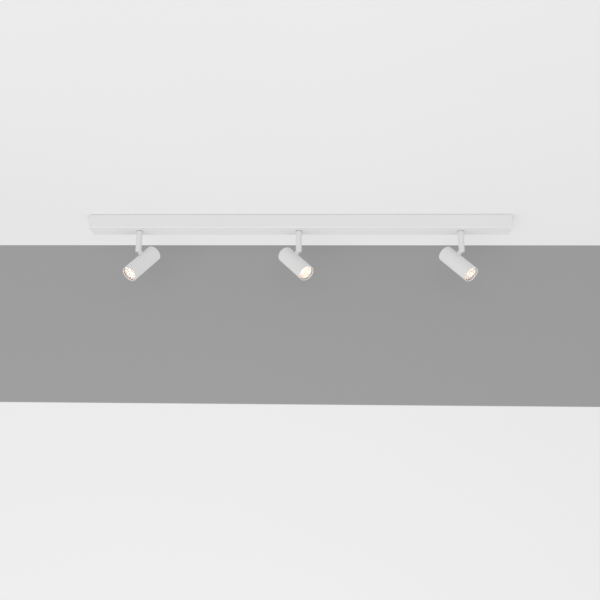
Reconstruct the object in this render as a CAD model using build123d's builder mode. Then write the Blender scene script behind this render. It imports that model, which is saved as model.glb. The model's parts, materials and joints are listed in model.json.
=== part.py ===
from build123d import *
import os
from math import cos, pi, radians, sin

# Ceiling spotlight bar: a folded canopy carries three hollow stems, each with a head that pans and tilts.
# Millimetres. The origin is the centre of the ceiling face, +X runs along the bar and the front is -Y.
# Each stem stands on its own swivel plane, which turns with the pan angle. Each head has an axis plane at
# its rear end, looking along the beam, with its x away from the tilt pivot and its y along the tilt hinge.

# Driving dimensions: canopy
BAR_LENGTH = 1000.0
BAR_DEPTH = 48.5
BAR_DROP = 34.0
SHADOW_GAP = 0.8
SHEET = 1.2
BEND_RADIUS = 2.0
SPOT_SPACING = 382.4
PLATE_SHEET = 1.5

# Driving dimensions: stem and head
STEM_RADIUS = 7.0
STEM_END = -87.2
NECK_RADIUS = 5.0
PIVOT_ABOVE_END = 7.0
HEAD_RADIUS = 19.2
HEAD_LENGTH = 95.0
HEAD_WALL = 1.6
HEAD_ROUNDING = 1.2
PIVOT_FROM_REAR = 33.0
PIVOT_TO_HEAD_AXIS = 30.7
KNUCKLE_HALF = 4.4
KNUCKLE_WIDTH = 7.0

# Resting pose of each spot: place along the bar, pan from +X about +Z, tilt below the horizontal, in degrees
SPOTS = {
    "left": (-SPOT_SPACING, 227.4, 46.5),
    "middle": (0.0, -41.3, 41.2),
    "right": (SPOT_SPACING, -40.0, 44.2),
}

# Fits
RUNNING = 0.05
AXIAL_PLAY = 0.1
THREAD_PLAY = 0.03

# Canopy levels, as heights below the ceiling
COVER_TOP = -SHADOW_GAP
COVER_BOTTOM = -BAR_DROP
FLOOR = COVER_BOTTOM + SHEET
WALL_INSIDE = BAR_DEPTH / 2 - SHEET
END_INSIDE = BAR_LENGTH / 2 - SHEET

# Mounting plate and its ceiling fixings
PLATE_HALF_DEPTH = 21.5
PLATE_LIP = 8.0
LIP_LENGTH = 940.0
TAB_WIDTH = 24.0
TAB_DROP = 24.0
TAB_GAP = 0.3
SLOT_SPACING = 880.0
SLOT_LENGTH = 12.0
SLOT_RADIUS = 2.75
CABLE_X = 325.0
CABLE_HOLE_RADIUS = 8.0
CABLE_BORE_RADIUS = 4.5
COVER_SCREW_Z = -14.0
COVER_SCREW_RADIUS = 1.5

# Swivel bush, its lock nut inside the canopy and the stop
SLEEVE_RADIUS = 7.5
BUSH_LIP_RADIUS = 8.0
BUSH_LIP = 0.5
BUSH_NUT_RADIUS = 12.0
BUSH_NUT = 3.0
STOP_WIDTH = 1.6
LUG_INNER, LUG_OUTER, LUG_HEIGHT = 10.0, 11.9, 2.5
TOOTH_REACH = 11.7
STOP_WASHER_RADIUS = 8.0
STOP_WASHER = 1.2
STEM_NUT_FLAT = 7.0
STEM_NUT = 4.0
NECK_FLAT = 4.3

# Heights of the swivel's parts
LIP_BOTTOM = COVER_BOTTOM - BUSH_LIP
BUSH_TOP = FLOOR + BUSH_NUT
STEM_SHOULDER = LIP_BOTTOM - AXIAL_PLAY
WASHER_BOTTOM = BUSH_TOP + AXIAL_PLAY
NUT_BOTTOM = WASHER_BOTTOM + STOP_WASHER
NECK_TOP = NUT_BOTTOM + STEM_NUT + 1.0

# Fork, pivot screws and knuckle
PIVOT_Z = STEM_END + PIVOT_ABOVE_END
FORK_ROUNDING = 4.0
FORK_SLOT = KNUCKLE_WIDTH + 2 * RUNNING
FORK_ROOF = KNUCKLE_HALF + AXIAL_PLAY
PIN_RADIUS = 1.5
PIN_HEAD_RADIUS = 2.4
PIN_TIP, PIN_SHOULDER, PIN_TOP = 1.5, 5.0, 6.5
SOCKET_RADIUS, SOCKET_DEPTH = 0.8, 0.7
FOOT_LENGTH, FOOT_WIDTH = 16.0, 12.0
FOOT_TOP, FOOT_BOTTOM = 14.2, 17.0

# Leads
LEAD_RADIUS = 1.2
LEAD_BORE = 1.6
CHANNEL_HALF = 1.4
FLEX_GAP = 1.6
LEAD_TOP = NECK_TOP + 2.1

# Inside the head, as distances from its rear end and radii about its axis
BORE_RADIUS = HEAD_RADIUS - HEAD_WALL
SINK_RADIUS = 17.3
SINK_REAR, SINK_FRONT = 6.0, 59.0
SINK_BORE_RADIUS, SINK_BORE_END = 6.5, 51.0
FIN_SLOTS, FIN_SLOT_WIDTH, FIN_ROOT, FIN_END = 10, 2.2, 10.0, 20.0
LEAD_RUN_RADIUS = 10.0
BOARD_RADIUS, BOARD_THICKNESS = 13.0, 1.6
EMITTER_RADIUS, EMITTER_HEIGHT = 5.0, 0.8
THROAT_RADIUS, MOUTH_RADIUS, REFLECTOR_WALL = 5.6, 16.0, 1.0
LENS_RADIUS, LENS_REAR, LENS_THICKNESS = 17.3, 89.4, 2.0
RING_OUTER, RING_INNER, RING_THICKNESS = 17.55, 16.6, 1.2

# Driver
DRIVER_START, DRIVER_END = 110.0, 230.0
DRIVER_DEPTH, DRIVER_HEIGHT, DRIVER_WALL = 32.0, 20.0, 1.5
LID_THICKNESS = 1.5
BOARD_HEIGHT = 5.0
WIRE_Z = FLOOR + BOARD_HEIGHT + BOARD_THICKNESS + LEAD_RADIUS
LIVE_Y, NEUTRAL_Y, EARTH_Y = -9.0, 0.0, 9.0
OUTPUT_Y = {"right": -2.0, "middle": 4.0, "left": 9.0}

# Terminal block, cord clamp and earth point
BLOCK_START, BLOCK_END, BLOCK_DEPTH, BLOCK_HEIGHT = 262.0, 286.0, 32.0, 16.0
BASE_END, BASE_THICKNESS = 310.0, 3.0
TERMINAL_Z = FLOOR + 7.7
CLAMP_X, CLAMP_LENGTH, CLAMP_FOOT = 299.0, 10.0, 1.5
SCREW_Y = 10.5
SCREW_RADIUS, SCREW_HEAD_RADIUS, SCREW_HEAD, SCREW_SHANK = 1.5, 2.7, 1.8, 3.6
EARTH_X, EARTH_Z = 238.0, -5.0
RING_TONGUE = 0.8

os.makedirs("parts", exist_ok=True)


def save(piece, name):
    """Label a finished sub-part and write it as one STEP file."""
    piece.part.label = name
    export_step(piece.part, f"parts/{name}.step")


def level(x, z):
    """Horizontal plane at a height, centred on a place along the bar."""
    return Plane(origin=(x, 0, z))


def across(x, y=0.0, z=0.0):
    """Plane that faces +X, with its x along +Y and its y up."""
    return Plane(origin=(x, y, z), x_dir=(0, 1, 0), z_dir=(1, 0, 0))


def make_canopy_cover():
    with BuildPart() as canopy_cover:
        with BuildSketch(level(0, COVER_BOTTOM)):
            Rectangle(BAR_LENGTH, BAR_DEPTH)
        extrude(amount=COVER_TOP - COVER_BOTTOM)
        fillet(canopy_cover.edges().filter_by(Axis.Z), BEND_RADIUS)
        fillet(canopy_cover.faces().sort_by(Axis.Z)[0].edges(), BEND_RADIUS)
        offset(amount=-SHEET, openings=canopy_cover.faces().sort_by(Axis.Z)[-1])
        with BuildSketch(level(0, COVER_BOTTOM)):
            with Locations(*[(place[0], 0) for place in SPOTS.values()]):
                Circle(SLEEVE_RADIUS + AXIAL_PLAY)
        extrude(amount=SHEET, mode=Mode.SUBTRACT)
        with BuildSketch(across(-BAR_LENGTH / 2, z=COVER_SCREW_Z)):
            Circle(COVER_SCREW_RADIUS + 0.3)
        extrude(amount=BAR_LENGTH, mode=Mode.SUBTRACT)
    save(canopy_cover, "canopy_cover")


def make_mounting_plate():
    lip_inside = PLATE_HALF_DEPTH - PLATE_SHEET
    tab_outside = END_INSIDE - TAB_GAP
    with BuildPart() as mounting_plate:
        with BuildSketch(level(0, -PLATE_SHEET)):
            Rectangle(2 * tab_outside, 2 * PLATE_HALF_DEPTH)
        extrude(amount=PLATE_SHEET)
        for side in (-1, 1):
            with BuildSketch(Plane(origin=(0, side * (lip_inside + PLATE_SHEET / 2), -PLATE_LIP))):
                Rectangle(LIP_LENGTH, PLATE_SHEET)
            extrude(amount=PLATE_LIP)
            with BuildSketch(level(side * (tab_outside - PLATE_SHEET / 2), -TAB_DROP)):
                Rectangle(PLATE_SHEET, TAB_WIDTH)
            extrude(amount=TAB_DROP)
        long_bends = mounting_plate.edges().filter_by(Axis.X).group_by(Axis.Z)[-1]
        fillet(long_bends, PLATE_SHEET / 2)
        with BuildSketch(level(0, -PLATE_SHEET)):
            with Locations((-SLOT_SPACING / 2, 0), (SLOT_SPACING / 2, 0)):
                SlotOverall(SLOT_LENGTH, 2 * SLOT_RADIUS)
            with Locations((CABLE_X, 0)):
                Circle(CABLE_HOLE_RADIUS)
        extrude(amount=PLATE_SHEET, mode=Mode.SUBTRACT)
        with BuildSketch(across(-BAR_LENGTH / 2, z=COVER_SCREW_Z)):
            Circle(COVER_SCREW_RADIUS + THREAD_PLAY)
        extrude(amount=BAR_LENGTH, mode=Mode.SUBTRACT)
        with BuildSketch(Plane(origin=(EARTH_X, lip_inside, EARTH_Z), z_dir=(0, 1, 0))):
            Circle(SCREW_RADIUS + THREAD_PLAY)
        extrude(amount=PLATE_SHEET, mode=Mode.SUBTRACT)
    save(mounting_plate, "mounting_plate")


def make_cover_screws():
    head_radius, head_height, shank, socket = 3.0, 1.7, 7.0, 1.1
    with BuildPart() as cover_screws:
        for side in (-1, 1):
            with BuildSketch(across(side * BAR_LENGTH / 2, z=COVER_SCREW_Z)):
                Circle(COVER_SCREW_RADIUS)
            extrude(amount=-side * shank)
            with BuildSketch(across(side * BAR_LENGTH / 2, z=COVER_SCREW_Z)):
                Circle(head_radius)
            extrude(amount=side * head_height)
            head_face = cover_screws.faces().sort_by(Axis.X)[-1 if side > 0 else 0]
            fillet(head_face.edges(), head_height * 0.45)
            with BuildSketch(across(side * (BAR_LENGTH / 2 + head_height), z=COVER_SCREW_Z)):
                RegularPolygon(socket, 6)
            extrude(amount=-side * head_height * 0.6, mode=Mode.SUBTRACT)
    save(cover_screws, "cover_screws")


def make_cable_grommet():
    flange_radius, flange = 10.5, 1.5
    with BuildPart() as cable_grommet:
        with BuildSketch(level(CABLE_X, 0)):
            Circle(CABLE_HOLE_RADIUS)
        extrude(amount=-PLATE_SHEET)
        with BuildSketch(level(CABLE_X, -PLATE_SHEET)):
            Circle(flange_radius)
        extrude(amount=-flange)
        fillet(cable_grommet.faces().sort_by(Axis.Z)[0].edges(), flange * 0.4)
        with BuildSketch(level(CABLE_X, 0)):
            Circle(CABLE_BORE_RADIUS)
        extrude(amount=-(PLATE_SHEET + flange), mode=Mode.SUBTRACT)
    save(cable_grommet, "cable_grommet")


def make_swivel_bush(side, x):
    with BuildPart() as swivel_bush:
        with BuildSketch(level(x, LIP_BOTTOM)):
            Circle(BUSH_LIP_RADIUS)
        extrude(amount=BUSH_LIP)
        with BuildSketch(level(x, LIP_BOTTOM)):
            Circle(SLEEVE_RADIUS)
        extrude(amount=BUSH_TOP - LIP_BOTTOM)
        with BuildSketch(level(x, LIP_BOTTOM)):
            Circle(NECK_RADIUS + RUNNING)
        extrude(amount=BUSH_TOP - LIP_BOTTOM, mode=Mode.SUBTRACT)
    save(swivel_bush, f"swivel_bush_{side}")


def make_bush_nuts():
    with BuildPart() as bush_nuts:
        for x, _, _ in SPOTS.values():
            with BuildSketch(level(x, FLOOR)):
                Circle(BUSH_NUT_RADIUS)
                Circle(SLEEVE_RADIUS + THREAD_PLAY, mode=Mode.SUBTRACT)
            extrude(amount=BUSH_NUT)
            with BuildSketch(level(x, BUSH_TOP)):
                with Locations((0, (LUG_INNER + LUG_OUTER) / 2)):
                    Rectangle(STOP_WIDTH, LUG_OUTER - LUG_INNER)
            extrude(amount=LUG_HEIGHT)
    save(bush_nuts, "bush_nuts")


def make_driver():
    length = DRIVER_END - DRIVER_START
    centre = (DRIVER_START + DRIVER_END) / 2
    with BuildPart() as driver_case:
        with BuildSketch(level(centre, FLOOR)):
            RectangleRounded(length, DRIVER_DEPTH, 2.5)
        extrude(amount=DRIVER_HEIGHT - LID_THICKNESS)
        offset(amount=-DRIVER_WALL, openings=driver_case.faces().sort_by(Axis.Z)[-1])
        with BuildSketch(across(DRIVER_END - DRIVER_WALL, z=WIRE_Z)):
            with Locations((LIVE_Y, 0), (NEUTRAL_Y, 0)):
                Circle(LEAD_RADIUS + AXIAL_PLAY)
        extrude(amount=DRIVER_WALL, mode=Mode.SUBTRACT)
        with BuildSketch(across(DRIVER_START, z=WIRE_Z)):
            with Locations(*[(y, 0) for y in OUTPUT_Y.values()]):
                Circle(LEAD_RADIUS + AXIAL_PLAY)
        extrude(amount=DRIVER_WALL, mode=Mode.SUBTRACT)
    save(driver_case, "driver_case")

    with BuildPart() as driver_lid:
        with BuildSketch(level(centre, FLOOR + DRIVER_HEIGHT - LID_THICKNESS)):
            RectangleRounded(length, DRIVER_DEPTH, 2.5)
        extrude(amount=LID_THICKNESS)
        fillet(driver_lid.faces().sort_by(Axis.Z)[-1].edges(), 0.6)
        with BuildSketch(level(centre, FLOOR + DRIVER_HEIGHT - LID_THICKNESS)):
            Rectangle(length - 2 * DRIVER_WALL - 6, DRIVER_DEPTH - 2 * DRIVER_WALL - 0.4)
        extrude(amount=-2.0)
    save(driver_lid, "driver_lid")

    with BuildPart() as driver_board:
        with BuildSketch(level(centre, FLOOR + BOARD_HEIGHT)):
            Rectangle(length - 2 * DRIVER_WALL - 1, DRIVER_DEPTH - 2 * DRIVER_WALL - 1)
        extrude(amount=BOARD_THICKNESS)
        with BuildSketch(level(centre, FLOOR + BOARD_HEIGHT + BOARD_THICKNESS)):
            with Locations((4, 0)):
                Rectangle(20, 20)
        extrude(amount=8.0)
        with BuildSketch(level(centre, FLOOR + BOARD_HEIGHT + BOARD_THICKNESS)):
            with Locations((-22, 5), (26, -6), (38, 6)):
                Circle(4.5)
        extrude(amount=7.5)
        with BuildSketch(level(centre, FLOOR + DRIVER_WALL)):
            with GridLocations(length - 16, DRIVER_DEPTH - 12, 2, 2):
                Circle(1.5)
        extrude(amount=BOARD_HEIGHT - DRIVER_WALL)
    save(driver_board, "driver_board")


def make_terminals():
    pole_width = 9.0
    screw_well, screw_length = 2.0, 6.0
    wire_hole = LEAD_RADIUS + AXIAL_PLAY
    block_centre = (BLOCK_START + BLOCK_END) / 2
    base_length = BASE_END - BLOCK_START
    block_top = FLOOR + BLOCK_HEIGHT
    foot_top = FLOOR + BASE_THICKNESS + CLAMP_FOOT
    with BuildPart() as terminal_block:
        with BuildSketch(level(block_centre, FLOOR)):
            Rectangle(BLOCK_END - BLOCK_START, BLOCK_DEPTH)
        extrude(amount=BLOCK_HEIGHT)
        fillet(terminal_block.edges().filter_by(Axis.X).group_by(Axis.Z)[-1], 1.5)
        with BuildSketch(level(BLOCK_START + base_length / 2, FLOOR)):
            Rectangle(base_length, BLOCK_DEPTH)
        extrude(amount=BASE_THICKNESS)
        with BuildSketch(across(BLOCK_START, z=TERMINAL_Z)):
            with Locations((LIVE_Y, 0), (NEUTRAL_Y, 0), (EARTH_Y, 0)):
                Circle(wire_hole)
        extrude(amount=BLOCK_END - BLOCK_START, mode=Mode.SUBTRACT)
        with BuildSketch(level(block_centre, block_top)):
            with GridLocations(12.0, pole_width, 2, 3):
                Circle(screw_well)
        extrude(amount=-screw_length, mode=Mode.SUBTRACT)
        with BuildSketch(level(CLAMP_X, FLOOR + BASE_THICKNESS)):
            with Locations((0, -SCREW_Y), (0, SCREW_Y)):
                Circle(SCREW_RADIUS + THREAD_PLAY)
        extrude(amount=CLAMP_FOOT - SCREW_SHANK, mode=Mode.SUBTRACT)
    save(terminal_block, "terminal_block")

    with BuildPart() as terminal_screws:
        with BuildSketch(level(block_centre, block_top - screw_length)):
            with GridLocations(12.0, pole_width, 2, 3):
                Circle(screw_well - AXIAL_PLAY)
        extrude(amount=screw_length - 1.5)
        with BuildSketch(level(block_centre, block_top - 1.5)):
            with GridLocations(12.0, pole_width, 2, 3):
                Rectangle(0.7, 5.0)
        extrude(amount=-0.8, mode=Mode.SUBTRACT)
    save(terminal_screws, "terminal_screws")

    cable_radius = 4.0
    with BuildPart() as cord_clamp:
        with BuildSketch(across(CLAMP_X - CLAMP_LENGTH / 2, z=FLOOR + BASE_THICKNESS)):
            with Locations((0, CLAMP_FOOT / 2)):
                Rectangle(2 * SCREW_Y + 7, CLAMP_FOOT)
            with Locations((0, cable_radius)):
                Circle(cable_radius + CLAMP_FOOT)
                Circle(cable_radius, mode=Mode.SUBTRACT)
            with Locations((0, cable_radius / 2)):
                Rectangle(2 * cable_radius, cable_radius, mode=Mode.SUBTRACT)
            with Locations((0, -cable_radius)):
                Rectangle(4 * cable_radius, 2 * cable_radius, mode=Mode.SUBTRACT)
        extrude(amount=CLAMP_LENGTH)
        with BuildSketch(level(CLAMP_X, foot_top)):
            with Locations((0, -SCREW_Y), (0, SCREW_Y)):
                Circle(SCREW_RADIUS + AXIAL_PLAY)
        extrude(amount=-CLAMP_FOOT, mode=Mode.SUBTRACT)
    save(cord_clamp, "cord_clamp")

    lip_inside = PLATE_HALF_DEPTH - PLATE_SHEET
    seats = [Plane(origin=(CLAMP_X, y, foot_top)) for y in (-SCREW_Y, SCREW_Y)]
    seats.append(Plane(origin=(EARTH_X, lip_inside - RING_TONGUE, EARTH_Z), z_dir=(0, -1, 0)))
    with BuildPart() as panel_screws:
        for seat in seats:
            with BuildSketch(seat):
                Circle(SCREW_HEAD_RADIUS)
            extrude(amount=SCREW_HEAD)
            with BuildSketch(seat):
                Circle(SCREW_RADIUS)
            extrude(amount=-SCREW_SHANK)
            with BuildSketch(seat.offset(SCREW_HEAD)):
                Rectangle(3.4, 0.7)
                Rectangle(0.7, 3.4)
            extrude(amount=-0.9, mode=Mode.SUBTRACT)
    save(panel_screws, "panel_screws")


def sweep_lead(name, points, radii):
    """Round lead along straight runs joined by tangent arcs; prints how true its volume is."""
    with BuildPart() as lead:
        with BuildLine():
            route = FilletPolyline(*points, radius=radii)
        with BuildSketch(Plane(origin=route @ 0, z_dir=route % 0)):
            Circle(LEAD_RADIUS)
        sweep()
    expected = pi * LEAD_RADIUS**2 * route.length
    print(f"{name}: length {route.length:.1f}, volume ratio {lead.part.volume / expected:.4f}")
    return lead


def make_mains_leads():
    inside_block = BLOCK_START + 5
    inside_driver = DRIVER_END - 6
    bow = 3.0
    for name, y, side in (("live_lead", LIVE_Y, -1), ("neutral_lead", NEUTRAL_Y, 1)):
        points = [
            (inside_block, y, TERMINAL_Z),
            (BLOCK_START - 5, y, TERMINAL_Z),
            (BLOCK_START - 13, y + side * bow, TERMINAL_Z + bow),
            (DRIVER_END + 11, y + side * bow, WIRE_Z + bow),
            (DRIVER_END + 3, y, WIRE_Z),
            (inside_driver, y, WIRE_Z),
        ]
        save(sweep_lead(name, points, [8, 8, 8, 8]), name)

    lip_inside = PLATE_HALF_DEPTH - PLATE_SHEET
    tongue_face = lip_inside - RING_TONGUE
    lead_y = lip_inside - LEAD_RADIUS
    points = [
        (inside_block, EARTH_Y, TERMINAL_Z),
        (EARTH_X + 10, EARTH_Y, TERMINAL_Z),
        (EARTH_X, lead_y, -18.0),
        (EARTH_X, lead_y, EARTH_Z - SCREW_HEAD_RADIUS - 0.8),
    ]
    core = sweep_lead("earth_lead", points, [10, 9])
    with BuildPart() as earth_lead:
        add(core.part)
        with BuildSketch(Plane(origin=(EARTH_X, tongue_face, EARTH_Z), x_dir=(1, 0, 0), z_dir=(0, 1, 0))):
            Circle(3.4)
            with Locations((0, 3.0)):
                Rectangle(2.4, 3.4)
            Circle(SCREW_RADIUS + AXIAL_PLAY, mode=Mode.SUBTRACT)
        extrude(amount=RING_TONGUE)
    save(earth_lead, "earth_lead")


def make_output_leads():
    inside_driver = DRIVER_START + 6
    bend = 9.0
    high = LEAD_TOP + 10.2
    left_y, middle_y, right_y = OUTPUT_Y["left"], OUTPUT_Y["middle"], OUTPUT_Y["right"]
    side_run = 16.5
    back_run = -19.0
    turn_radius = (right_y - back_run) / 2 - 0.1
    routes = {
        "left": (
            [
                (inside_driver, left_y, WIRE_Z),
                (88, left_y, WIRE_Z),
                (60, side_run, WIRE_Z),
                (-300, side_run, WIRE_Z),
                (-SPOT_SPACING + 38, 0, high),
                (-SPOT_SPACING, 0, high),
                (-SPOT_SPACING, 0, LEAD_TOP),
            ],
            [60, 60, 38, 38, bend],
        ),
        "middle": (
            [
                (inside_driver, middle_y, WIRE_Z),
                (86, middle_y, WIRE_Z),
                (40, 0, high),
                (0, 0, high),
                (0, 0, LEAD_TOP),
            ],
            [60, 60, bend],
        ),
        "right": (
            [
                (inside_driver, right_y, WIRE_Z),
                (92, right_y, WIRE_Z),
                (92, back_run, WIRE_Z),
                (306, back_run, WIRE_Z),
                (SPOT_SPACING - 33, 0, high),
                (SPOT_SPACING, 0, high),
                (SPOT_SPACING, 0, LEAD_TOP),
            ],
            [turn_radius, turn_radius, 36, 36, bend],
        ),
    }
    for side, (points, radii) in routes.items():
        name = f"output_lead_{side}"
        save(sweep_lead(name, points, radii), name)


class Spot:
    """Planes and directions of one stem and its head."""

    def __init__(self, x, pan_degrees, tilt_degrees):
        pan, tilt = radians(pan_degrees), radians(tilt_degrees)
        self.x = x
        self.forward = Vector(cos(pan), sin(pan), 0)
        self.hinge = Vector(-sin(pan), cos(pan), 0)
        self.pivot = Vector(x, 0, PIVOT_Z)
        self.beam = self.forward * cos(tilt) - Vector(0, 0, sin(tilt))
        self.away = (self.forward * sin(tilt) + Vector(0, 0, cos(tilt))) * -1
        self.rear = self.pivot + self.away * PIVOT_TO_HEAD_AXIS - self.beam * PIVOT_FROM_REAR
        self.axis = Axis(self.rear, self.beam)
        self.head = Plane(origin=self.rear, x_dir=self.away, z_dir=self.beam)
        self.side = Plane(origin=self.pivot, x_dir=self.beam, z_dir=self.hinge)
        self.neck = Plane(origin=self.pivot, x_dir=self.beam, z_dir=self.away)
        self.fork = Plane(origin=self.pivot, x_dir=self.forward, z_dir=self.hinge * -1)

    def swivel(self, z):
        """Horizontal plane on the stem's axis, with its x along the pan direction."""
        return Plane(origin=(self.x, 0, z), x_dir=self.forward, z_dir=(0, 0, 1))


def make_stem(side, spot):
    """Hollow stem. Its slot is open behind and below, and its closed front stops the knuckle at level."""
    roof_z = PIVOT_Z + FORK_ROOF
    back, below = STEM_RADIUS + 1, PIVOT_ABOVE_END + 1
    with BuildPart() as stem:
        with BuildSketch(spot.swivel(STEM_END)):
            Circle(STEM_RADIUS)
        extrude(amount=STEM_SHOULDER - STEM_END)
        fillet(stem.edges().sort_by(Axis.Z)[0], FORK_ROUNDING)
        fillet(stem.faces().sort_by(Axis.Z)[-1].edges(), 0.4)
        with BuildSketch(spot.fork):
            with Locations((-back / 2, (FORK_ROOF - below) / 2)):
                Rectangle(back, FORK_ROOF + below)
            with Locations((FORK_ROOF / 2, -below / 2)):
                Rectangle(FORK_ROOF, below)
            Circle(FORK_ROOF)
        extrude(amount=FORK_SLOT / 2, both=True, mode=Mode.SUBTRACT)
        with BuildSketch(spot.swivel(STEM_SHOULDER)):
            Circle(NECK_RADIUS)
        extrude(amount=NECK_TOP - STEM_SHOULDER)
        with BuildSketch(spot.swivel(WASHER_BOTTOM)):
            with Locations((-NECK_FLAT - 1, 0)):
                Rectangle(2, 2 * NECK_RADIUS)
        extrude(amount=NECK_TOP - WASHER_BOTTOM, mode=Mode.SUBTRACT)
        with BuildSketch(spot.swivel(NECK_TOP)):
            Circle(LEAD_BORE)
        extrude(amount=roof_z - NECK_TOP, mode=Mode.SUBTRACT)
        with BuildSketch(spot.fork):
            Circle(PIN_RADIUS)
        extrude(amount=STEM_RADIUS, both=True, mode=Mode.SUBTRACT)
        for direction in (-1, 1):
            with BuildSketch(spot.fork.offset(direction * PIN_SHOULDER)):
                Circle(PIN_HEAD_RADIUS + RUNNING)
            extrude(amount=direction * STEM_RADIUS, mode=Mode.SUBTRACT)
    save(stem, f"stem_{side}")


def make_stop_washer(side, spot):
    key_reach = NECK_RADIUS + 0.5
    key_face = NECK_FLAT + THREAD_PLAY
    tooth_root = STOP_WASHER_RADIUS - 1
    with BuildPart() as stop_washer:
        with BuildSketch(spot.swivel(WASHER_BOTTOM)):
            Circle(STOP_WASHER_RADIUS)
            with Locations(((tooth_root + TOOTH_REACH) / 2, 0)):
                Rectangle(TOOTH_REACH - tooth_root, STOP_WIDTH)
            Circle(NECK_RADIUS + THREAD_PLAY, mode=Mode.SUBTRACT)
            with Locations((-(key_reach + key_face) / 2, 0)):
                Rectangle(key_reach - key_face, 6.0)
        extrude(amount=STOP_WASHER)
    save(stop_washer, f"stop_washer_{side}")


def make_stem_nut(side, spot):
    with BuildPart() as stem_nut:
        with BuildSketch(spot.swivel(NUT_BOTTOM)):
            RegularPolygon(STEM_NUT_FLAT, 6, major_radius=False)
            Circle(NECK_RADIUS + THREAD_PLAY, mode=Mode.SUBTRACT)
        extrude(amount=STEM_NUT)
    save(stem_nut, f"stem_nut_{side}")


def make_pivot_screws(side, spot):
    with BuildPart() as pivot_screws:
        for direction in (-1, 1):
            with BuildSketch(spot.fork.offset(direction * PIN_TIP)):
                Circle(PIN_RADIUS)
            extrude(amount=direction * (PIN_SHOULDER - PIN_TIP))
            with BuildSketch(spot.fork.offset(direction * PIN_SHOULDER)):
                Circle(PIN_HEAD_RADIUS)
            extrude(amount=direction * (PIN_TOP - PIN_SHOULDER))
            with BuildSketch(spot.fork.offset(direction * PIN_TOP)):
                RegularPolygon(SOCKET_RADIUS, 6)
            extrude(amount=-direction * SOCKET_DEPTH, mode=Mode.SUBTRACT)
    save(pivot_screws, f"pivot_screws_{side}")


def make_stem_lead(side, spot):
    start = PIVOT_Z + FLEX_GAP
    with BuildPart() as stem_lead:
        with BuildSketch(spot.swivel(start)):
            Circle(LEAD_RADIUS)
        extrude(amount=LEAD_TOP - AXIAL_PLAY - start)
    save(stem_lead, f"stem_lead_{side}")


def make_knuckle(side, spot):
    channel_reach = 6.0
    with BuildPart() as knuckle:
        with BuildSketch(spot.neck):
            RectangleRounded(2 * KNUCKLE_HALF, KNUCKLE_WIDTH, 0.7)
        extrude(amount=FOOT_TOP)
        with BuildSketch(spot.side):
            Circle(KNUCKLE_HALF)
        extrude(amount=KNUCKLE_WIDTH / 2, both=True)
        with BuildSketch(spot.neck.offset(FOOT_TOP)):
            Rectangle(FOOT_LENGTH, FOOT_WIDTH)
        extrude(amount=FOOT_BOTTOM - FOOT_TOP)
        with BuildSketch(spot.side):
            Circle(PIN_RADIUS + RUNNING)
        extrude(amount=KNUCKLE_WIDTH, both=True, mode=Mode.SUBTRACT)
        with BuildSketch(spot.neck):
            Circle(CHANNEL_HALF)
        extrude(amount=FOOT_BOTTOM, mode=Mode.SUBTRACT)
        with BuildSketch(spot.side):
            with Locations(((PIN_TIP - channel_reach) / 2, (PIN_TIP - channel_reach) / 2)):
                Rectangle(channel_reach + PIN_TIP, channel_reach + PIN_TIP)
            with Locations((FOOT_LENGTH / 4, (FOOT_TOP - 0.7 + FOOT_BOTTOM) / 2)):
                Rectangle(FOOT_LENGTH / 2 + 0.1, FOOT_BOTTOM - FOOT_TOP + 0.7)
        extrude(amount=CHANNEL_HALF, both=True, mode=Mode.SUBTRACT)
    save(knuckle, f"knuckle_{side}")


def make_head_housing(side, spot):
    with BuildPart() as head_housing:
        with BuildSketch(spot.head):
            Circle(HEAD_RADIUS)
        extrude(amount=HEAD_LENGTH)
        fillet(head_housing.faces().sort_by(spot.axis)[0].edges(), HEAD_ROUNDING)
        with BuildSketch(spot.head.offset(HEAD_WALL)):
            Circle(BORE_RADIUS)
        extrude(amount=HEAD_LENGTH, mode=Mode.SUBTRACT)
        fillet(head_housing.faces().sort_by(spot.axis)[-1].edges(), 0.4)
        with BuildSketch(spot.neck.offset(8.0)):
            Rectangle(2 * KNUCKLE_HALF + 0.2, KNUCKLE_WIDTH + 0.2)
        extrude(amount=8.0, mode=Mode.SUBTRACT)
    save(head_housing, f"head_housing_{side}")


def make_heat_sink(side, spot):
    groove_half = LEAD_BORE
    groove_bottom = PIVOT_TO_HEAD_AXIS - LEAD_RUN_RADIUS + 1.3
    groove_start = -groove_half
    groove_end = SINK_FRONT - PIVOT_FROM_REAR
    slot_depth = SINK_RADIUS - FIN_ROOT + 1
    with BuildPart() as heat_sink:
        with BuildSketch(spot.head.offset(SINK_REAR)):
            Circle(SINK_RADIUS)
            Circle(SINK_BORE_RADIUS, mode=Mode.SUBTRACT)
        extrude(amount=SINK_BORE_END - SINK_REAR)
        with BuildSketch(spot.head.offset(SINK_BORE_END)):
            Circle(SINK_RADIUS)
        extrude(amount=SINK_FRONT - SINK_BORE_END)
        with BuildSketch(spot.head.offset(SINK_REAR)):
            with PolarLocations(FIN_ROOT + slot_depth / 2, FIN_SLOTS):
                Rectangle(slot_depth, FIN_SLOT_WIDTH)
        extrude(amount=FIN_END - SINK_REAR, mode=Mode.SUBTRACT)
        with BuildSketch(spot.neck.offset(FOOT_TOP - 2)):
            Rectangle(FOOT_LENGTH + 0.4, FOOT_WIDTH + 0.4)
        extrude(amount=FOOT_BOTTOM - FOOT_TOP + 2, mode=Mode.SUBTRACT)
        with BuildSketch(spot.neck.offset(FOOT_TOP - 2)):
            with Locations(((groove_start + groove_end) / 2, 0)):
                Rectangle(groove_end - groove_start, 2 * groove_half)
        extrude(amount=groove_bottom - FOOT_TOP + 2, mode=Mode.SUBTRACT)
    save(heat_sink, f"heat_sink_{side}")


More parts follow.
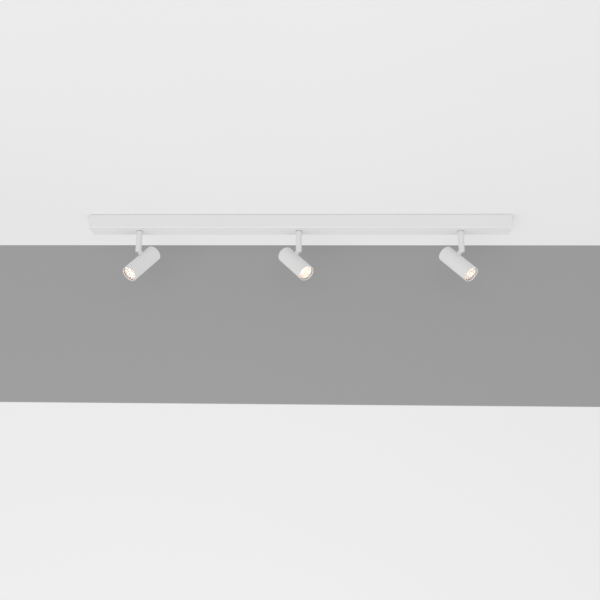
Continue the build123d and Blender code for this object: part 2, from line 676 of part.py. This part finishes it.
def make_led_module(side, spot):
    board_front = SINK_FRONT + BOARD_THICKNESS
    with BuildPart() as led_module:
        with BuildSketch(spot.head.offset(SINK_FRONT)):
            Circle(BOARD_RADIUS)
            with Locations((-LEAD_RUN_RADIUS, 0)):
                Circle(LEAD_RADIUS + AXIAL_PLAY, mode=Mode.SUBTRACT)
        extrude(amount=BOARD_THICKNESS)
        with BuildSketch(spot.head.offset(board_front)):
            Circle(EMITTER_RADIUS)
        extrude(amount=EMITTER_HEIGHT)
    save(led_module, f"led_module_{side}")


def make_reflector(side, spot):
    throat = SINK_FRONT + BOARD_THICKNESS
    middle = (throat + LENS_REAR) / 2
    middle_radius = ((THROAT_RADIUS**2 + MOUTH_RADIUS**2) / 2) ** 0.5
    flange = 1.5
    profile_plane = Plane(origin=spot.rear, x_dir=spot.away, z_dir=spot.hinge * -1)
    with BuildPart() as reflector:
        with BuildSketch(profile_plane):
            with BuildLine():
                ThreePointArc((THROAT_RADIUS, throat), (middle_radius, middle), (MOUTH_RADIUS, LENS_REAR))
                rim = Line((MOUTH_RADIUS, LENS_REAR), (LENS_RADIUS, LENS_REAR))
                edge = Line(rim @ 1, (LENS_RADIUS, LENS_REAR - flange))
                step = Line(edge @ 1, (MOUTH_RADIUS + REFLECTOR_WALL, LENS_REAR - flange))
                back = ThreePointArc(
                    step @ 1,
                    (middle_radius + REFLECTOR_WALL, middle),
                    (THROAT_RADIUS + REFLECTOR_WALL, throat),
                )
                Line(back @ 1, (THROAT_RADIUS, throat))
            make_face()
        revolve(axis=spot.axis)
    save(reflector, f"reflector_{side}")


def make_lens(side, spot):
    with BuildPart() as lens:
        with BuildSketch(spot.head.offset(LENS_REAR)):
            Circle(LENS_RADIUS)
        extrude(amount=LENS_THICKNESS)
        chamfer(lens.faces().sort_by(spot.axis)[-1].edges(), 0.3)
    save(lens, f"lens_{side}")


def make_front_ring(side, spot):
    ring_rear = LENS_REAR + LENS_THICKNESS
    with BuildPart() as front_ring:
        with BuildSketch(spot.head.offset(ring_rear)):
            Circle(RING_OUTER)
            Circle(RING_INNER, mode=Mode.SUBTRACT)
        extrude(amount=RING_THICKNESS)
        fillet(front_ring.faces().sort_by(spot.axis)[-1].edges(), 0.35)
    save(front_ring, f"front_ring_{side}")


def make_head_lead(side, spot):
    start = spot.pivot + spot.away * FLEX_GAP
    corner = spot.pivot + spot.away * (PIVOT_TO_HEAD_AXIS - LEAD_RUN_RADIUS)
    end = corner + spot.beam * (SINK_FRONT + BOARD_THICKNESS - PIVOT_FROM_REAR)
    name = f"head_lead_{side}"
    save(sweep_lead(name, [start, corner, end], [6]), name)


make_canopy_cover()
make_mounting_plate()
make_cover_screws()
make_cable_grommet()
make_bush_nuts()
make_driver()
make_terminals()
make_mains_leads()
make_output_leads()
for side, pose in SPOTS.items():
    spot = Spot(*pose)
    make_swivel_bush(side, spot.x)
    make_stem(side, spot)
    make_stop_washer(side, spot)
    make_stem_nut(side, spot)
    make_pivot_screws(side, spot)
    make_stem_lead(side, spot)
    make_knuckle(side, spot)
    make_head_housing(side, spot)
    make_heat_sink(side, spot)
    make_led_module(side, spot)
    make_reflector(side, spot)
    make_lens(side, spot)
    make_front_ring(side, spot)
    make_head_lead(side, spot)
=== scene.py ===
import json
import math

import bmesh
import bpy
from mathutils import Matrix, Vector


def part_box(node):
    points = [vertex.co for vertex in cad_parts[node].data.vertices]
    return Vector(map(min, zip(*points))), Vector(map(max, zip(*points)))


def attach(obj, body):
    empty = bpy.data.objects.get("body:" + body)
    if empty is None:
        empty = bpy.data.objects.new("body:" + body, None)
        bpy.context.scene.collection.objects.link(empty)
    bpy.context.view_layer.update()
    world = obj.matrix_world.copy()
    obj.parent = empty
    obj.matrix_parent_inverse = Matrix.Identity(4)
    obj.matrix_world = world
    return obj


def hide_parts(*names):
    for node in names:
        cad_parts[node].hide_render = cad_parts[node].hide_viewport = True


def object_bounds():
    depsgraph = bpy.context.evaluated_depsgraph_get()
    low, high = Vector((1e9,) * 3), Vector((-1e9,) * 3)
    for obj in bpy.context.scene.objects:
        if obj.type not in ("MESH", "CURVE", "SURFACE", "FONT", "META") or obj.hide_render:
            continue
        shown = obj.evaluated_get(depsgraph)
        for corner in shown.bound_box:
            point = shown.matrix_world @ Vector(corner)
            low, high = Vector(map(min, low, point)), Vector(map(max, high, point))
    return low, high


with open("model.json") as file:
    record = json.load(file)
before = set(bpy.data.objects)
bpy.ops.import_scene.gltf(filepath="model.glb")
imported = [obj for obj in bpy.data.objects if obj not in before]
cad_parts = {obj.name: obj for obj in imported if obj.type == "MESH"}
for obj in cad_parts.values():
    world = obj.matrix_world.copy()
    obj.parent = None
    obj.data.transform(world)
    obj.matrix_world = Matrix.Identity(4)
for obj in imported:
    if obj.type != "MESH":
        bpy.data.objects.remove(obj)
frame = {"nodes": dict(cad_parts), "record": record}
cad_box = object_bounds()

# Ceiling spotlight bar. Metres, in the CAD model's frame: +X along the bar, +Z up into the
# ceiling, the viewer at -Y. The CAD nodes keep their shapes. This script gives them materials,
# builds the faceted reflectors and the domes over the LEDs, and sets up the ceiling, the grey
# card behind the bar, the lights and the camera.

MM = 0.001
SIDES = ("left", "middle", "right")
NODES = frame["nodes"]

# Camera: its place, the way it looks in degrees, its lens and sensor in mm, and its clip range
CAMERA_PLACE = Vector((0.0859, -1.8607, -0.7291))
CAMERA_YAW, CAMERA_PITCH, CAMERA_ROLL = 2.494, 15.752, 0.857
CAMERA_LENS, CAMERA_SENSOR = 49.96, 36.0
CAMERA_NEAR, CAMERA_FAR = 0.05, 50.0

# Stage: how far the sheets reach, where they stand, and how light they are
STAGE_REACH = 8.0
CEILING_GAP = 0.1 * MM
CARD_BEHIND = 0.195
CARD_DROP = 0.418
WALL_BEHIND = 0.22
FLOOR_LEVEL = -2.4
CARD_GREY = 0.37
PALE_GREY = 0.90

# Light: the room's own glow, the point that the lamps aim at, and each lamp's place, size, power
ROOM_GLOW = 0.72
LAMPS_AIM = (0, 0, -0.05)
LAMPS = {
    "key_light": ((-1.8, -5.0, -2.7), (3.3, 2.0), 44.0),
    "fill_light": ((0.0, -3.4, -0.6), (2.0, 1.2), 9.0),
    "floor_light": ((0.0, -0.8, -3.2), (2.0, 1.2), 12.0),
}

# Base colours of the one white powder coat on folded sheet, drawn tube and cast or turned parts.
# Their small differences are painted light and shade: the sheet is set lighter and the tube and
# cast parts darker, to match how bright each part looks
WHITE_SHEET_PAINTED_LIGHT = (0.80, 0.80, 0.798)
WHITE_TUBE_PAINTED_SHADE = (0.775, 0.775, 0.773)
WHITE_CAST_PAINTED_SHADE = (0.77, 0.77, 0.767)
COAT_IOR = 1.5
GLASS_IOR = 1.46

# Reflector finish: roughness with its spread, mirroring share, and sheen of the scattering share
REFLECTOR_HAZE, HAZE_SPREAD = 0.65, 0.05
REFLECTOR_MIRROR = 0.12
REFLECTOR_SHEEN = 0.15
PHOSPHOR_STRENGTH = 15.5

# Reflector shape: facets around and along it, mesh steps per facet, and how far a facet swells
FACET_COLUMNS, FACET_ROWS, FACET_STEPS = 24, 8, 5
FACET_SWELL = 0.05 * MM
REFLECTOR_FLANGE = 1.5 * MM
REFLECTOR_WALL = 1.0 * MM
REFLECTOR_BACK_ROWS = 6
EMITTER_RADIUS = 5.0 * MM
THROAT_CLEAR = 0.6 * MM
MOUTH_LIP = 1.3 * MM

# Dome over the LED's phosphor: mesh steps and size
DOME_SEGMENTS, DOME_ROWS = 48, 6
DOME_RADIUS = 4.5 * MM
DOME_CROWN = 0.7 * MM
DOME_SINK = 0.2 * MM


# ---------------------------------------------------------------- node helpers

# Numbers of the Mix node's sockets for two colours and their blend
MIX_FIRST, MIX_SECOND, MIX_BLEND = 6, 7, 2


class Graph:
    """Short way to add and join the shader nodes of one material."""

    def __init__(self, name):
        self.material = bpy.data.materials.new(name)
        self.material.use_nodes = True
        self.tree = self.material.node_tree
        self.tree.nodes.clear()
        self.output = self.add("ShaderNodeOutputMaterial")

    def add(self, kind, inputs=None, **settings):
        node = self.tree.nodes.new(kind)
        for key, value in settings.items():
            setattr(node, key, value)
        for key, value in (inputs or {}).items():
            self.feed(node.inputs[key], value)
        return node

    def feed(self, socket, value):
        if isinstance(value, bpy.types.NodeSocket):
            self.tree.links.new(value, socket)
        else:
            socket.default_value = value

    def surface(self, socket):
        """Show a shader socket as the surface, and give back the material."""
        self.tree.links.new(socket, self.output.inputs["Surface"])
        return self.material

    def principled(self, **kit):
        """One Principled shader as the surface; underscores in the names stand for spaces."""
        inputs = {key.replace("_", " "): value for key, value in kit.items()}
        return self.surface(self.add("ShaderNodeBsdfPrincipled", inputs).outputs[0])

    def mixed(self, amount, first, second):
        """Two shader nodes mixed as the surface."""
        mix = self.add("ShaderNodeMixShader", {0: amount})
        self.feed(mix.inputs[1], first.outputs[0])
        self.feed(mix.inputs[2], second.outputs[0])
        return self.surface(mix.outputs[0])

    def place(self):
        """Object coordinates, which are the CAD frame's metres on every node."""
        return self.add("ShaderNodeTexCoord").outputs["Object"]

    def noise(self, feature, detail=3.0, roughness=0.5, stretch=None):
        """Noise whose features are about as wide as given, in metres."""
        where = self.place()
        if stretch:
            where = self.add("ShaderNodeMapping", {"Vector": where, "Scale": stretch}).outputs[0]
        kit = {"Vector": where, "Scale": 1.0 / feature, "Detail": detail, "Roughness": roughness}
        return self.add("ShaderNodeTexNoise", kit).outputs["Fac"]

    def spread(self, value, low, high, start=0.3, end=0.7):
        kit = {"Value": value, "From Min": start, "From Max": end, "To Min": low, "To Max": high}
        return self.add("ShaderNodeMapRange", kit).outputs["Result"]

    def drift(self, feature, detail=4.0):
        """Slow noise from 0 to 1, for a change of tone."""
        return self.spread(self.noise(feature, detail), 0.0, 1.0)

    def blend(self, amount, first, second):
        node = self.add("ShaderNodeMix", data_type="RGBA")
        self.feed(node.inputs["Factor"], amount)
        self.feed(node.inputs[MIX_FIRST], first)
        self.feed(node.inputs[MIX_SECOND], second)
        return node.outputs[MIX_BLEND]

    def bump(self, height, strength, distance, under=None):
        kit = {"Height": height, "Strength": strength, "Distance": distance}
        node = self.add("ShaderNodeBump", kit)
        if under is not None:
            self.feed(node.inputs["Normal"], under)
        return node.outputs["Normal"]


def rgba(colour, gain=1.0):
    return tuple(min(1.0, part * gain) for part in colour[:3]) + (1.0,)


# ---------------------------------------------------------------- materials


def grainy(name, colour, tone, tone_feature, rough, rough_feature, grain, grain_depth):
    """Solid finish: broad tone drift, uneven roughness and a fine surface grain."""
    graph = Graph(name)
    drift = graph.drift(tone_feature)
    base = graph.blend(drift, rgba(colour, 1.0 - tone), rgba(colour, 1.0 + tone))
    dull = graph.spread(graph.noise(rough_feature), *rough)
    normal = graph.bump(graph.noise(grain, 2.0), 0.6, grain_depth)
    return graph.principled(Base_Color=base, Roughness=dull, Normal=normal)


def powder_coat(name, colour):
    """Matt white powder coat: orange-peel surface, slight tone drift and a few darker specks."""
    graph = Graph(name)
    base = graph.blend(graph.drift(0.12), rgba(colour, 0.985), rgba(colour, 1.01))
    speck = graph.spread(graph.noise(0.0018, 2.0), 0.0, 1.0, 0.70, 0.80)
    base = graph.blend(speck, base, rgba(colour, 0.93))
    dull = graph.spread(graph.noise(0.02), 0.46, 0.58)
    peel = graph.bump(graph.noise(0.0016, 2.0), 0.35, 0.06 * MM)
    normal = graph.bump(graph.noise(0.0004, 1.0), 0.25, 0.02 * MM, under=peel)
    coat = {"Coat_Weight": 0.5, "Coat_Roughness": 0.22, "Coat_IOR": COAT_IOR}
    return graph.principled(Base_Color=base, Roughness=dull, Normal=normal, IOR=COAT_IOR, **coat)


def brushed_metal(name, colour, stretch, rough):
    """Metal with fine drawn lines along one direction."""
    graph = Graph(name)
    lines = graph.noise(0.0006, 3.0, 0.6, stretch)
    base = graph.blend(graph.drift(0.015), rgba(colour, 0.92), rgba(colour, 1.04))
    dull = graph.spread(lines, *rough)
    normal = graph.bump(lines, 0.3, 0.02 * MM)
    return graph.principled(Base_Color=base, Roughness=dull, Metallic=1.0, Normal=normal)


def two_colour_sleeve(name, first, second, pitch):
    """Sleeve of one colour with a stripe of another winding along it, as on an earth lead."""
    graph = Graph(name)
    kit = {"Vector": graph.place(), "Scale": 1.0 / pitch, "Distortion": 0.4}
    wave = graph.add("ShaderNodeTexWave", kit, bands_direction="DIAGONAL").outputs["Fac"]
    stripe = graph.spread(wave, 0.0, 1.0, 0.48, 0.52)
    base = graph.blend(stripe, rgba(first), rgba(second))
    dull = graph.spread(graph.noise(0.004), 0.35, 0.5)
    normal = graph.bump(graph.noise(0.0008, 2.0), 0.3, 0.03 * MM)
    return graph.principled(Base_Color=base, Roughness=dull, Normal=normal)


def clear_glass(name):
    """Clear front glass with faint smears; rays from lamps pass straight through it."""
    graph = Graph(name)
    smear = graph.spread(graph.noise(0.006, 4.0), 0.01, 0.06)
    normal = graph.bump(graph.noise(0.01, 2.0), 0.05, 0.02 * MM)
    kit = {"Base Color": (0.99, 0.985, 0.97, 1.0), "Roughness": smear, "Normal": normal}
    kit.update({"Transmission Weight": 1.0, "IOR": GLASS_IOR})
    glass = graph.add("ShaderNodeBsdfPrincipled", kit)
    clear = graph.add("ShaderNodeBsdfTransparent", {"Color": (0.97, 0.96, 0.94, 1.0)})
    shadow_ray = graph.add("ShaderNodeLightPath").outputs["Is Shadow Ray"]
    return graph.mixed(shadow_ray, glass, clear)


def bright_reflector(name):
    """Satin-metallised plastic: part mirror, part soft white scatter."""
    graph = Graph(name)
    haze = graph.drift(0.003, 3.0)
    base = graph.blend(haze, (0.94, 0.89, 0.85, 1.0), (0.96, 0.92, 0.89, 1.0))
    low, high = REFLECTOR_HAZE - HAZE_SPREAD, REFLECTOR_HAZE + HAZE_SPREAD
    dull = graph.spread(graph.noise(0.004), low, high)
    normal = graph.bump(graph.noise(0.0009, 2.0), 0.2, 0.02 * MM)
    kit = {"Metallic": REFLECTOR_MIRROR, "Specular_IOR_Level": REFLECTOR_SHEEN}
    return graph.principled(Base_Color=base, Roughness=dull, Normal=normal, **kit)


def lit_phosphor(name):
    """The LED's phosphor under its silicone dome: warm light with a fine grain."""
    graph = Graph(name)
    grain = graph.spread(graph.noise(0.0005, 2.0), 0.75, 1.15)
    tint = graph.drift(0.002, 2.0)
    colour = graph.blend(tint, (1.0, 0.87, 0.78, 1.0), (1.0, 0.91, 0.84, 1.0))
    product = {0: grain, 1: PHOSPHOR_STRENGTH}
    strength = graph.add("ShaderNodeMath", product, operation="MULTIPLY").outputs[0]
    glow = {"Emission_Color": colour, "Emission_Strength": strength}
    return graph.principled(Base_Color=(0.9, 0.8, 0.5, 1.0), Roughness=0.3, **glow)


# Moulded and coated parts. Columns: colour, tone change and its feature size, lowest and highest
# roughness and its feature size, grain size and grain depth
GRAINY = {
    "white_nylon": ((0.80, 0.80, 0.77), 0.03, 0.01, (0.40, 0.55), 0.005, 0.0007, 0.00003),
    # grey_nylon: a real nylon part at the top of each stem; its dark grey is painted shade for
    # the shadow gap where the stem meets the canopy
    "grey_nylon": ((0.45, 0.45, 0.45), 0.05, 0.01, (0.45, 0.6), 0.004, 0.0007, 0.00003),
    # ring_nylon: a real ring around each lens; its dark brownish colour is painted shade for the
    # shadow gap around the lens, tinted warm as painted light from the LED
    "ring_nylon": ((0.46, 0.37, 0.31), 0.05, 0.01, (0.45, 0.6), 0.004, 0.0006, 0.00002),
    "driver_plastic": ((0.74, 0.74, 0.73), 0.03, 0.02, (0.5, 0.65), 0.01, 0.0006, 0.00006),
    "circuit": ((0.05, 0.20, 0.09), 0.25, 0.003, (0.3, 0.6), 0.004, 0.001, 0.00004),
    "rubber": ((0.03, 0.03, 0.032), 0.2, 0.004, (0.6, 0.8), 0.004, 0.0005, 0.00005),
    "brown_pvc": ((0.20, 0.09, 0.045), 0.08, 0.01, (0.35, 0.5), 0.004, 0.0006, 0.00003),
    "blue_pvc": ((0.03, 0.13, 0.42), 0.08, 0.01, (0.35, 0.5), 0.004, 0.0006, 0.00003),
    "white_pvc": ((0.76, 0.76, 0.73), 0.04, 0.02, (0.35, 0.5), 0.004, 0.0006, 0.00003),
    "led_board": ((0.86, 0.85, 0.80), 0.04, 0.003, (0.35, 0.5), 0.003, 0.0005, 0.00002),
}
ALONG_X, ALONG_Z = (0.08, 1.0, 1.0), (1.0, 1.0, 0.1)
EARTH_GREEN, EARTH_YELLOW, EARTH_PITCH = (0.06, 0.33, 0.07), (0.75, 0.62, 0.05), 0.012

MATERIALS = {slot: grainy(slot, *look) for slot, look in GRAINY.items()}
MATERIALS.update({
    # One powder coat in lit and shaded copies: painted light on the sheet, painted shade on the
    # tube and cast parts
    "white_steel": powder_coat("white_steel_coat_painted_light", WHITE_SHEET_PAINTED_LIGHT),
    "white_tube": powder_coat("white_tube_coat_painted_shade", WHITE_TUBE_PAINTED_SHADE),
    "white_cast": powder_coat("white_cast_coat_painted_shade", WHITE_CAST_PAINTED_SHADE),
    "zinc": brushed_metal("zinc_plate", (0.62, 0.64, 0.66), ALONG_X, (0.28, 0.45)),
    "aluminium": brushed_metal("turned_aluminium", (0.80, 0.81, 0.82), ALONG_Z, (0.25, 0.4)),
    "green_yellow_pvc": two_colour_sleeve("earth_pvc", EARTH_GREEN, EARTH_YELLOW, EARTH_PITCH),
    "clear_glass": clear_glass("front_glass"),
    "reflector": bright_reflector("metallised_reflector"),
})


def dress_nodes():
    """Give each CAD node the finish of its material slot."""
    slots = {part["node"]: part["material_slot"] for part in frame["record"]["subparts"]}
    for name, node in NODES.items():
        node.data.materials.clear()
        node.data.materials.append(MATERIALS[slots[name]])


# ---------------------------------------------------------------- one head's optics


class Optics:
    """Axis and levels of one head, read from its CAD nodes."""

    def __init__(self, side):
        lens = NODES[f"lens_{side}"].data
        self.side = side
        self.lens_centre = sum((v.co for v in lens.vertices), Vector()) / len(lens.vertices)
        face = max(lens.polygons, key=lambda polygon: polygon.area)
        low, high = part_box(f"led_module_{side}")
        towards = self.lens_centre - (low + high) / 2
        self.beam = face.normal if face.normal.dot(towards) > 0 else -face.normal
        across = self.beam.orthogonal().normalized()
        self.turn = Matrix((across, self.beam.cross(across), self.beam)).transposed()

    def points(self, node):
        """Where a node's vertices are, seen from the lens's centre."""
        return [v.co - self.lens_centre for v in NODES[f"{node}_{self.side}"].data.vertices]

    def level(self, node, pick):
        """How far along the beam a node reaches."""
        return pick(point.dot(self.beam) for point in self.points(node))

    def reach(self, node):
        """A node's largest radius about the beam."""
        offsets = (point - self.beam * point.dot(self.beam) for point in self.points(node))
        return max(offset.length for offset in offsets)

    def ring(self, mesh, radii, along):
        """New vertices evenly around the beam, one for each radius."""
        corners = []
        for step, radius in enumerate(radii):
            angle = 2.0 * math.pi * step / len(radii)
            local = Vector((radius * math.cos(angle), radius * math.sin(angle), along))
            corners.append(mesh.verts.new(self.lens_centre + self.turn @ local))
        return corners


def join_rings(mesh, first, second):
    """A band of four-sided faces between two rings of vertices."""
    for step in range(len(first)):
        beside = (step + 1) % len(first)
        mesh.faces.new((first[step], first[beside], second[beside], second[step]))


def finished(mesh, name, material, side):
    """Turn a bmesh into a smooth piece that rides on one side's head."""
    bmesh.ops.recalc_face_normals(mesh, faces=mesh.faces)
    data = bpy.data.meshes.new(name)
    mesh.to_mesh(data)
    mesh.free()
    data.materials.append(material)
    for polygon in data.polygons:
        polygon.use_smooth = True
    piece = bpy.data.objects.new(name, data)
    bpy.context.scene.collection.objects.link(piece)
    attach(piece, f"head_{side}")
    return piece


def facet_height(step):
    """How much of the swell a mesh step has: none at its facet's edges, all of it midway."""
    across = 2.0 * (step % FACET_STEPS) / FACET_STEPS - 1.0
    return 1.0 - across * across


def faceted_reflector(optics):
    """Deep reflector whose inner face is a net of softly swollen facets."""
    throat = optics.level("reflector", min)
    mouth = optics.level("reflector", max)
    rim = optics.reach("reflector")
    throat_radius = EMITTER_RADIUS + THROAT_CLEAR
    mouth_radius = rim - MOUTH_LIP
    depth = mouth - throat
    bow = (mouth_radius**2 - throat_radius**2) / depth

    def wall(along):
        """Inner radius, a parabola that opens towards the mouth."""
        return math.sqrt(throat_radius**2 + bow * (along - throat))

    mesh = bmesh.new()
    columns = FACET_COLUMNS * FACET_STEPS
    rows = FACET_ROWS * FACET_STEPS
    rings = []
    for row in range(rows + 1):
        along = throat + depth * row / rows
        swell = FACET_SWELL * facet_height(row)
        radii = [wall(along) - swell * facet_height(column) for column in range(columns)]
        rings.append(optics.ring(mesh, radii, along))
    flange_foot = mouth - REFLECTOR_FLANGE
    outside = [(rim, mouth), (rim, flange_foot), (mouth_radius + REFLECTOR_WALL, flange_foot)]
    for row in range(REFLECTOR_BACK_ROWS, -1, -1):
        along = throat + (depth - 2 * REFLECTOR_FLANGE) * row / REFLECTOR_BACK_ROWS
        outside.append((wall(along) + REFLECTOR_WALL, along))
    rings.extend(optics.ring(mesh, [radius] * columns, along) for radius, along in outside)
    for first, second in zip(rings, rings[1:] + rings[:1]):
        join_rings(mesh, first, second)
    name = f"faceted_reflector_{optics.side}"
    piece = finished(mesh, name, MATERIALS["reflector"], optics.side)
    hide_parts(f"reflector_{optics.side}")


def phosphor_disc(optics, material):
    """Low silicone dome on the LED module."""
    base = optics.level("led_module", max)
    mesh = bmesh.new()
    crown = optics.ring(mesh, [0.0], base + DOME_CROWN)[0]
    rings = []
    for row in range(1, DOME_ROWS + 1):
        slope = math.pi / 2 * row / DOME_ROWS
        radius, along = DOME_RADIUS * math.sin(slope), base + DOME_CROWN * math.cos(slope)
        rings.append(optics.ring(mesh, [radius] * DOME_SEGMENTS, along))
    rings.append(optics.ring(mesh, [DOME_RADIUS] * DOME_SEGMENTS, base - DOME_SINK))
    for corner, beside in zip(rings[0], rings[0][1:] + rings[0][:1]):
        mesh.faces.new((crown, corner, beside))
    for inner, outer in zip(rings, rings[1:]):
        join_rings(mesh, inner, outer)
    mesh.faces.new(rings[-1])
    piece = finished(mesh, f"phosphor_disc_{optics.side}", material, optics.side)


# ---------------------------------------------------------------- stage, lights, camera


def one_sided(name, grey):
    """Plain matt stage paint that is seen and lit from its front only."""
    graph = Graph(name)
    colour = (grey, grey, grey)
    base = graph.blend(graph.drift(0.8, 2.0), rgba(colour, 0.995), rgba(colour, 1.005))
    paint = graph.add("ShaderNodeBsdfDiffuse", {"Color": base})
    clear = graph.add("ShaderNodeBsdfTransparent")
    back = graph.add("ShaderNodeNewGeometry").outputs["Backfacing"]
    return graph.mixed(back, paint, clear)


def stage_sheet(name, material, corner, along, up):
    """Flat sheet from a corner and two edges; its front is the side that along x up points to."""
    corner, along, up = Vector(corner), Vector(along), Vector(up)
    corners = [corner, corner + along, corner + along + up, corner + up]
    mesh = bpy.data.meshes.new(name)
    mesh.from_pydata(corners, [], [(0, 1, 2, 3)])
    mesh.materials.append(material)
    sheet = bpy.data.objects.new(name, mesh)
    bpy.context.scene.collection.objects.link(sheet)
    sheet.visible_diffuse = sheet.visible_glossy = False
    sheet.visible_transmission = sheet.visible_shadow = False


def build_stage():
    """Ceiling over the bar, a grey card behind it, and a pale wall and floor beyond."""
    top = cad_box[1].z + CEILING_GAP
    left, width = -STAGE_REACH, (2 * STAGE_REACH, 0, 0)
    card_foot = top - CARD_DROP
    grey = one_sided("stage_card", CARD_GREY)
    pale = one_sided("stage_pale", PALE_GREY)
    sheets = {
        "stage_ceiling": (pale, (left, CARD_BEHIND, top), (0, -STAGE_REACH, 0)),
        "stage_card": (grey, (left, CARD_BEHIND, card_foot), (0, 0, CARD_DROP)),
        "stage_wall": (pale, (left, WALL_BEHIND, FLOOR_LEVEL), (0, 0, top - FLOOR_LEVEL)),
        "stage_floor": (pale, (left, -STAGE_REACH, FLOOR_LEVEL), (0, 2 * STAGE_REACH, 0)),
    }
    for name, (paint, corner, up) in sheets.items():
        stage_sheet(name, paint, corner, width, up)


def soft_light(name, place, size, power):
    lamp = bpy.data.lights.new(name, "AREA")
    lamp.shape = "RECTANGLE"
    lamp.size, lamp.size_y = size
    lamp.energy = power
    holder = bpy.data.objects.new(name, lamp)
    holder.location = place
    holder.rotation_mode = "QUATERNION"
    holder.rotation_quaternion = (Vector(LAMPS_AIM) - Vector(place)).to_track_quat("-Z", "Y")
    bpy.context.scene.collection.objects.link(holder)


def light_stage():
    world = bpy.data.worlds.new("soft_room")
    world.use_nodes = True
    glow = world.node_tree.nodes["Background"]
    glow.inputs["Color"].default_value = (1.0, 1.0, 1.0, 1.0)
    glow.inputs["Strength"].default_value = ROOM_GLOW
    bpy.context.scene.world = world
    for name, (place, size, power) in LAMPS.items():
        soft_light(name, place, size, power)


def place_camera():
    angles = (CAMERA_YAW, CAMERA_PITCH, CAMERA_ROLL)
    yaw, pitch, roll = (math.radians(angle) for angle in angles)
    ahead = math.cos(pitch)
    forward = Vector((-math.sin(yaw) * ahead, math.cos(yaw) * ahead, math.sin(pitch)))
    level = Vector((math.cos(yaw), math.sin(yaw), 0.0))
    upright = level.cross(forward)
    right = level * math.cos(roll) + upright * math.sin(roll)
    up = upright * math.cos(roll) - level * math.sin(roll)
    data = bpy.data.cameras.new("camera")
    data.lens = CAMERA_LENS
    data.sensor_width = CAMERA_SENSOR
    data.clip_start, data.clip_end = CAMERA_NEAR, CAMERA_FAR
    camera = bpy.data.objects.new("camera", data)
    turn = Matrix((right, up, -forward)).transposed().to_4x4()
    camera.matrix_world = Matrix.Translation(CAMERA_PLACE) @ turn
    bpy.context.scene.collection.objects.link(camera)
    bpy.context.scene.camera = camera


place_camera()
dress_nodes()
phosphor = lit_phosphor("lit_phosphor")
for side in SIDES:
    head_optics = Optics(side)
    faceted_reflector(head_optics)
    phosphor_disc(head_optics, phosphor)
build_stage()
light_stage()
bpy.context.scene.view_settings.view_transform = "Standard"
